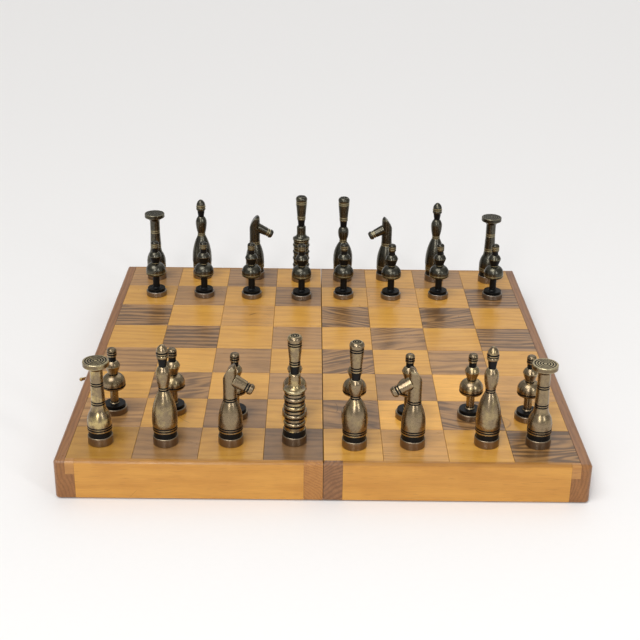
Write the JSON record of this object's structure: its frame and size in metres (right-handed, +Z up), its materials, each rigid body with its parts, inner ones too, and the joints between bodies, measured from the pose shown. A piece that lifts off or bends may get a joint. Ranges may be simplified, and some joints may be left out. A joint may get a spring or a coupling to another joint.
{
  "type": "folding chess set",
  "caption": "Wooden chess board that folds on hinges into a latched box, with two armies of turned metal pieces standing on it.",
  "frame": {"origin": "on the ground under the middle of the seam, with the board open and its playing side up", "axes": "+X to the right across the two halves, +Y along the seam towards the dark army, +Z up"},
  "size_m": [0.411, 0.4, 0.1205],
  "materials": {
    "side_wood": "satin varnish, reddish brown",
    "end_wood": "satin varnish, golden",
    "block_wood": "satin varnish",
    "plywood": "plain, unvarnished",
    "light_wood": "satin varnish, golden",
    "dark_wood": "satin varnish, walnut brown",
    "light_metal": "aged, with blackened grooves",
    "dark_metal": "near-black patina, bright on the edges",
    "fitting_brass": "tarnished",
    "pin_steel": "plain"
  },
  "bodies": {
    "left_half": {"left_outer_rail": "side_wood", "left_seam_rail": "side_wood", "left_front_rail": "end_wood", "left_rear_rail": "end_wood", "left_corner_blocks": "block_wood", "left_panel": "plywood", "left_light_squares": "light_wood", "left_dark_squares": "dark_wood", "left_hinge_leaves": "fitting_brass", "left_hinge_screws": "fitting_brass", "hinge_pins": "pin_steel", "latch_screw": "fitting_brass"},
    "right_half": {"right_outer_rail": "side_wood", "right_seam_rail": "side_wood", "right_front_rail": "end_wood", "right_rear_rail": "end_wood", "right_corner_blocks": "block_wood", "right_panel": "plywood", "right_light_squares": "light_wood", "right_dark_squares": "dark_wood", "right_hinge_leaves": "fitting_brass", "right_hinge_screws": "fitting_brass", "latch_stud": "fitting_brass"},
    "latch_hook": {"latch_hook": "fitting_brass"},
    "light_rook_left": {"light_rook_left": "light_metal"},
    "light_pawn_1": {"light_pawn_1": "light_metal"},
    "light_bishop_left": {"light_bishop_left": "light_metal"},
    "light_pawn_2": {"light_pawn_2": "light_metal"},
    "light_knight_left": {"light_knight_left": "light_metal"},
    "light_pawn_3": {"light_pawn_3": "light_metal"},
    "light_king": {"light_king": "light_metal"},
    "light_pawn_4": {"light_pawn_4": "light_metal"},
    "light_queen": {"light_queen": "light_metal"},
    "light_pawn_5": {"light_pawn_5": "light_metal"},
    "light_knight_right": {"light_knight_right": "light_metal"},
    "light_pawn_6": {"light_pawn_6": "light_metal"},
    "light_bishop_right": {"light_bishop_right": "light_metal"},
    "light_pawn_7": {"light_pawn_7": "light_metal"},
    "light_rook_right": {"light_rook_right": "light_metal"},
    "light_pawn_8": {"light_pawn_8": "light_metal"},
    "dark_rook_left": {"dark_rook_left": "dark_metal"},
    "dark_pawn_1": {"dark_pawn_1": "dark_metal"},
    "dark_bishop_left": {"dark_bishop_left": "dark_metal"},
    "dark_pawn_2": {"dark_pawn_2": "dark_metal"},
    "dark_knight_left": {"dark_knight_left": "dark_metal"},
    "dark_pawn_3": {"dark_pawn_3": "dark_metal"},
    "dark_king": {"dark_king": "dark_metal"},
    "dark_pawn_4": {"dark_pawn_4": "dark_metal"},
    "dark_queen": {"dark_queen": "dark_metal"},
    "dark_pawn_5": {"dark_pawn_5": "dark_metal"},
    "dark_knight_right": {"dark_knight_right": "dark_metal"},
    "dark_pawn_6": {"dark_pawn_6": "dark_metal"},
    "dark_bishop_right": {"dark_bishop_right": "dark_metal"},
    "dark_pawn_7": {"dark_pawn_7": "dark_metal"},
    "dark_rook_right": {"dark_rook_right": "dark_metal"},
    "dark_pawn_8": {"dark_pawn_8": "dark_metal"}
  },
  "joints": [
    {"name": "fold", "type": "hinge", "parent": "left_half", "child": "right_half", "pos_m": [0, 0, 0.0012], "axis": [0, 1, 0], "range_deg": [0, 180]},
    {"name": "latch", "type": "hinge", "parent": "left_half", "child": "latch_hook", "pos_m": [-0.2, 0, 0.0203], "axis": [1, 0, 0], "range_deg": [0, 93]},
    {"name": "light_rook_left_lift", "type": "slide", "parent": "left_half", "child": "light_rook_left", "axis": [0, 0, 1], "range_m": [0, 0.1]},
    {"name": "light_pawn_1_lift", "type": "slide", "parent": "left_half", "child": "light_pawn_1", "axis": [0, 0, 1], "range_m": [0, 0.1]},
    {"name": "light_bishop_left_lift", "type": "slide", "parent": "left_half", "child": "light_bishop_left", "axis": [0, 0, 1], "range_m": [0, 0.1]},
    {"name": "light_pawn_2_lift", "type": "slide", "parent": "left_half", "child": "light_pawn_2", "axis": [0, 0, 1], "range_m": [0, 0.1]},
    {"name": "light_knight_left_lift", "type": "slide", "parent": "left_half", "child": "light_knight_left", "axis": [0, 0, 1], "range_m": [0, 0.1]},
    {"name": "light_pawn_3_lift", "type": "slide", "parent": "left_half", "child": "light_pawn_3", "axis": [0, 0, 1], "range_m": [0, 0.1]},
    {"name": "light_king_lift", "type": "slide", "parent": "left_half", "child": "light_king", "axis": [0, 0, 1], "range_m": [0, 0.1]},
    {"name": "light_pawn_4_lift", "type": "slide", "parent": "left_half", "child": "light_pawn_4", "axis": [0, 0, 1], "range_m": [0, 0.1]},
    {"name": "light_queen_lift", "type": "slide", "parent": "right_half", "child": "light_queen", "axis": [0, 0, 1], "range_m": [0, 0.1]},
    {"name": "light_pawn_5_lift", "type": "slide", "parent": "right_half", "child": "light_pawn_5", "axis": [0, 0, 1], "range_m": [0, 0.1]},
    {"name": "light_knight_right_lift", "type": "slide", "parent": "right_half", "child": "light_knight_right", "axis": [0, 0, 1], "range_m": [0, 0.1]},
    {"name": "light_pawn_6_lift", "type": "slide", "parent": "right_half", "child": "light_pawn_6", "axis": [0, 0, 1], "range_m": [0, 0.1]},
    {"name": "light_bishop_right_lift", "type": "slide", "parent": "right_half", "child": "light_bishop_right", "axis": [0, 0, 1], "range_m": [0, 0.1]},
    {"name": "light_pawn_7_lift", "type": "slide", "parent": "right_half", "child": "light_pawn_7", "axis": [0, 0, 1], "range_m": [0, 0.1]},
    {"name": "light_rook_right_lift", "type": "slide", "parent": "right_half", "child": "light_rook_right", "axis": [0, 0, 1], "range_m": [0, 0.1]},
    {"name": "light_pawn_8_lift", "type": "slide", "parent": "right_half", "child": "light_pawn_8", "axis": [0, 0, 1], "range_m": [0, 0.1]},
    {"name": "dark_rook_left_lift", "type": "slide", "parent": "left_half", "child": "dark_rook_left", "axis": [0, 0, 1], "range_m": [0, 0.1]},
    {"name": "dark_pawn_1_lift", "type": "slide", "parent": "left_half", "child": "dark_pawn_1", "axis": [0, 0, 1], "range_m": [0, 0.1]},
    {"name": "dark_bishop_left_lift", "type": "slide", "parent": "left_half", "child": "dark_bishop_left", "axis": [0, 0, 1], "range_m": [0, 0.1]},
    {"name": "dark_pawn_2_lift", "type": "slide", "parent": "left_half", "child": "dark_pawn_2", "axis": [0, 0, 1], "range_m": [0, 0.1]},
    {"name": "dark_knight_left_lift", "type": "slide", "parent": "left_half", "child": "dark_knight_left", "axis": [0, 0, 1], "range_m": [0, 0.1]},
    {"name": "dark_pawn_3_lift", "type": "slide", "parent": "left_half", "child": "dark_pawn_3", "axis": [0, 0, 1], "range_m": [0, 0.1]},
    {"name": "dark_king_lift", "type": "slide", "parent": "left_half", "child": "dark_king", "axis": [0, 0, 1], "range_m": [0, 0.1]},
    {"name": "dark_pawn_4_lift", "type": "slide", "parent": "left_half", "child": "dark_pawn_4", "axis": [0, 0, 1], "range_m": [0, 0.1]},
    {"name": "dark_queen_lift", "type": "slide", "parent": "right_half", "child": "dark_queen", "axis": [0, 0, 1], "range_m": [0, 0.1]},
    {"name": "dark_pawn_5_lift", "type": "slide", "parent": "right_half", "child": "dark_pawn_5", "axis": [0, 0, 1], "range_m": [0, 0.1]},
    {"name": "dark_knight_right_lift", "type": "slide", "parent": "right_half", "child": "dark_knight_right", "axis": [0, 0, 1], "range_m": [0, 0.1]},
    {"name": "dark_pawn_6_lift", "type": "slide", "parent": "right_half", "child": "dark_pawn_6", "axis": [0, 0, 1], "range_m": [0, 0.1]},
    {"name": "dark_bishop_right_lift", "type": "slide", "parent": "right_half", "child": "dark_bishop_right", "axis": [0, 0, 1], "range_m": [0, 0.1]},
    {"name": "dark_pawn_7_lift", "type": "slide", "parent": "right_half", "child": "dark_pawn_7", "axis": [0, 0, 1], "range_m": [0, 0.1]},
    {"name": "dark_rook_right_lift", "type": "slide", "parent": "right_half", "child": "dark_rook_right", "axis": [0, 0, 1], "range_m": [0, 0.1]},
    {"name": "dark_pawn_8_lift", "type": "slide", "parent": "right_half", "child": "dark_pawn_8", "axis": [0, 0, 1], "range_m": [0, 0.1]}
  ]
}
